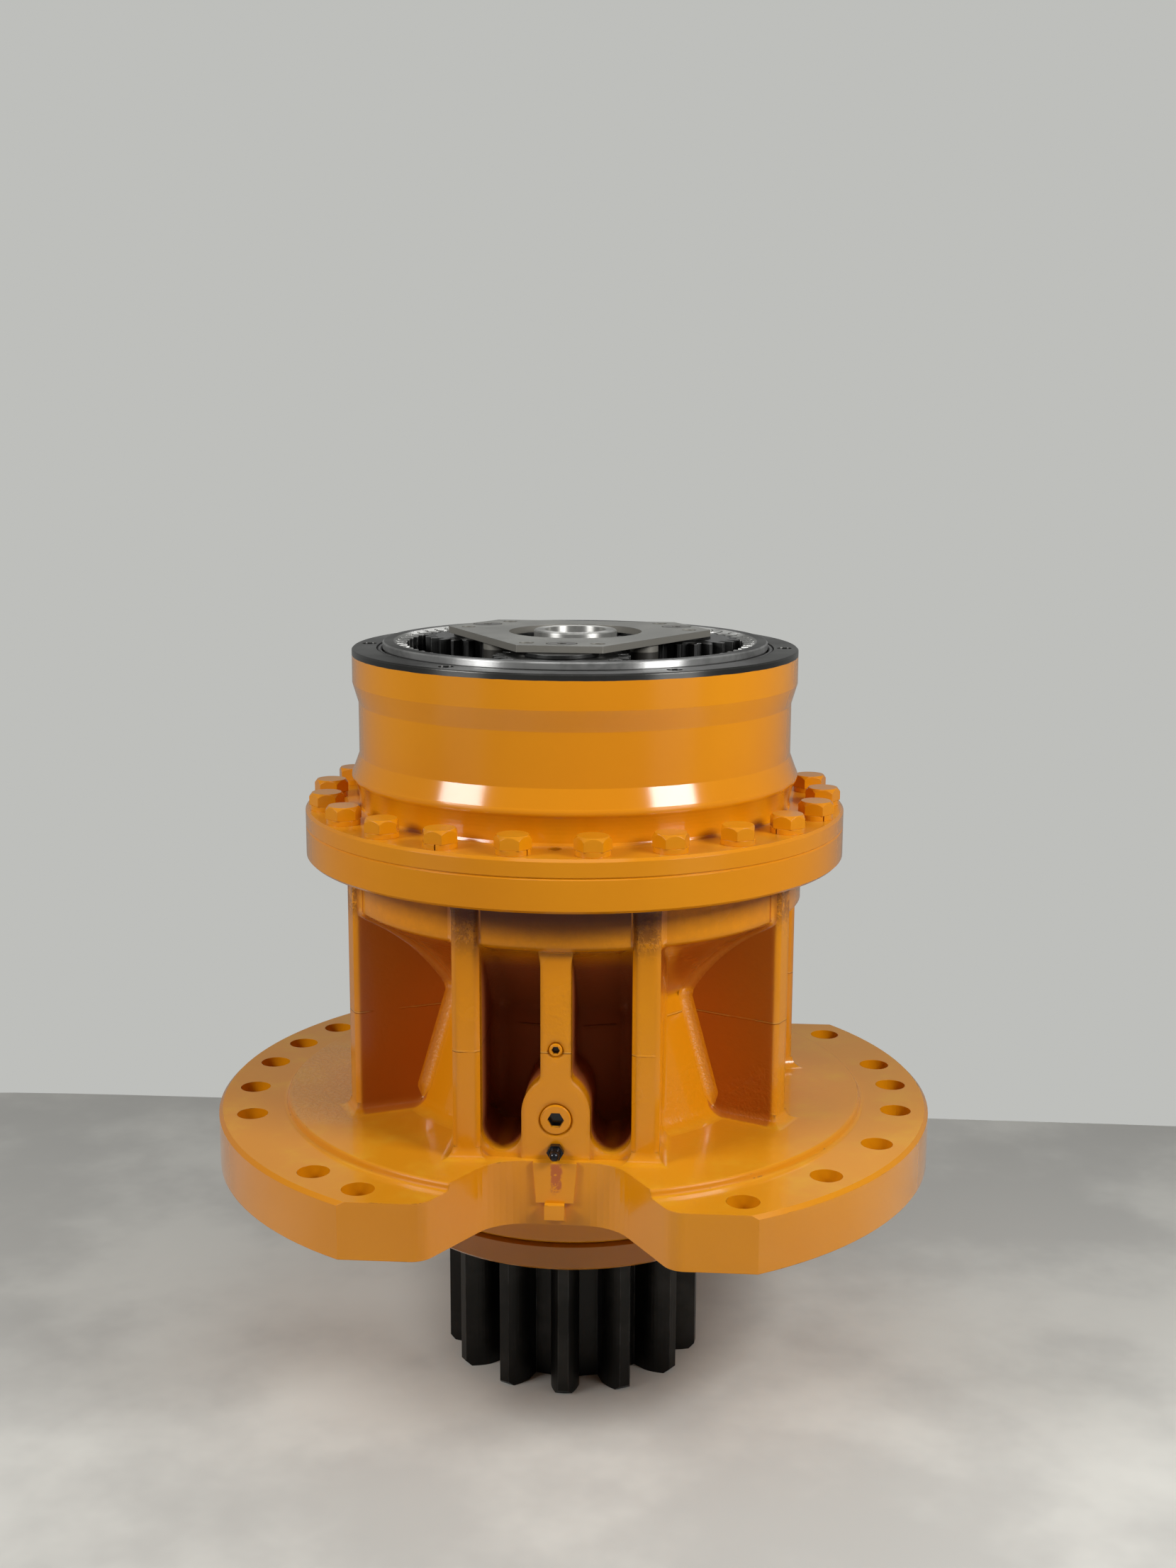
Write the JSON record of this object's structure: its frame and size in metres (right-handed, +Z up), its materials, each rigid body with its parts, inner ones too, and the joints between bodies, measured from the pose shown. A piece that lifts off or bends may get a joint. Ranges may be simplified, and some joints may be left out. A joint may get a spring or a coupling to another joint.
{
  "type": "excavator swing gearbox",
  "caption": "Upright two-stage planetary swing gearbox with a ribbed mounting casing, bolted ring gear, open top stage and drive pinion below.",
  "frame": {"origin": "on the gearbox axis in the plane of the base flange's underside, the mounting face", "axes": "+Z up along the axis towards the motor side; -Y through the plug boss and the notch; the pinion hangs below the origin"},
  "size_m": [0.583, 0.4663, 0.6063],
  "materials": {
    "paint": "gloss",
    "steel": "ground",
    "dark_steel": "machined and oiled",
    "black_steel": "blackened",
    "rubber": "matt",
    "bronze": "satin"
  },
  "bodies": {
    "housing": {"casing": "paint", "ring_gear": "paint", "flange_bolts": "paint", "spring_washers": "paint", "dowel_pins": "steel", "joint_seal": "rubber", "lip_seal": "rubber", "lower_bearing_outer": "steel", "upper_bearing_outer": "steel", "retainer": "paint", "retainer_screws_set": "black_steel", "oil_seal": "rubber", "drain_plug": "paint", "level_plug": "paint", "grease_nipple": "black_steel"},
    "output_shaft": {"pinion_shaft": "black_steel", "lower_bearing_inner": "steel", "lower_rollers": "steel", "lower_cage": "bronze", "upper_bearing_inner": "steel", "upper_rollers": "steel", "upper_cage": "bronze", "spacer_sleeve": "steel", "lock_washer": "steel", "shaft_nut": "dark_steel", "lower_carrier": "dark_steel", "carrier_ring": "steel", "lower_planet_pins": "steel", "lower_thrust_washers": "bronze", "shaft_disc": "bronze"},
    "lower_planet_a_set": {"lower_planet_a": "dark_steel", "lower_needles_a": "steel"},
    "lower_planet_b_set": {"lower_planet_b": "dark_steel", "lower_needles_b": "steel"},
    "lower_planet_c_set": {"lower_planet_c": "dark_steel", "lower_needles_c": "steel"},
    "intermediate": {"upper_carrier": "dark_steel", "lower_sun": "dark_steel", "sun_ring": "steel", "upper_planet_pins": "steel", "upper_thrust_washers": "bronze", "sun_disc": "bronze"},
    "upper_planet_a_set": {"upper_planet_a": "dark_steel", "upper_needles_a": "steel"},
    "upper_planet_b_set": {"upper_planet_b": "dark_steel", "upper_needles_b": "steel"},
    "upper_planet_c_set": {"upper_planet_c": "dark_steel", "upper_needles_c": "steel"},
    "input_sun": {"upper_sun": "dark_steel"}
  },
  "joints": [
    {"name": "output_shaft_turn", "type": "hinge", "parent": "housing", "child": "output_shaft", "pos_m": [0, 0, 0], "axis": [0, 0, 1], "continuous": true},
    {"name": "lower_planet_a_turn", "type": "hinge", "parent": "output_shaft", "child": "lower_planet_a_set", "pos_m": [0.07794, -0.045, 0.3226], "axis": [0, 0, 1], "continuous": true},
    {"name": "lower_planet_b_turn", "type": "hinge", "parent": "output_shaft", "child": "lower_planet_b_set", "pos_m": [0, 0.09, 0.3226], "axis": [0, 0, 1], "continuous": true},
    {"name": "lower_planet_c_turn", "type": "hinge", "parent": "output_shaft", "child": "lower_planet_c_set", "pos_m": [-0.07794, -0.045, 0.3226], "axis": [0, 0, 1], "continuous": true},
    {"name": "intermediate_turn", "type": "hinge", "parent": "housing", "child": "intermediate", "pos_m": [0, 0, 0.35], "axis": [0, 0, 1], "continuous": true},
    {"name": "upper_planet_a_turn", "type": "hinge", "parent": "intermediate", "child": "upper_planet_a_set", "pos_m": [-0.00314, -0.08995, 0.4018], "axis": [0, 0, 1], "continuous": true},
    {"name": "upper_planet_b_turn", "type": "hinge", "parent": "intermediate", "child": "upper_planet_b_set", "pos_m": [0.07947, 0.04225, 0.4018], "axis": [0, 0, 1], "continuous": true},
    {"name": "upper_planet_c_turn", "type": "hinge", "parent": "intermediate", "child": "upper_planet_c_set", "pos_m": [-0.07632, 0.04769, 0.4018], "axis": [0, 0, 1], "continuous": true},
    {"name": "input_sun_turn", "type": "hinge", "parent": "housing", "child": "input_sun", "pos_m": [0, 0, 0.4], "axis": [0, 0, 1], "continuous": true}
  ],
  "couplings": [
    {"joint": "lower_planet_a_turn", "follows": "output_shaft_turn", "ratio": -2.875},
    {"joint": "lower_planet_b_turn", "follows": "output_shaft_turn", "ratio": -2.875},
    {"joint": "lower_planet_c_turn", "follows": "output_shaft_turn", "ratio": -2.875},
    {"joint": "intermediate_turn", "follows": "output_shaft_turn", "ratio": 4.2857},
    {"joint": "upper_planet_a_turn", "follows": "output_shaft_turn", "ratio": -12.321},
    {"joint": "upper_planet_b_turn", "follows": "output_shaft_turn", "ratio": -12.321},
    {"joint": "upper_planet_c_turn", "follows": "output_shaft_turn", "ratio": -12.321},
    {"joint": "input_sun_turn", "follows": "output_shaft_turn", "ratio": 18.367}
  ]
}
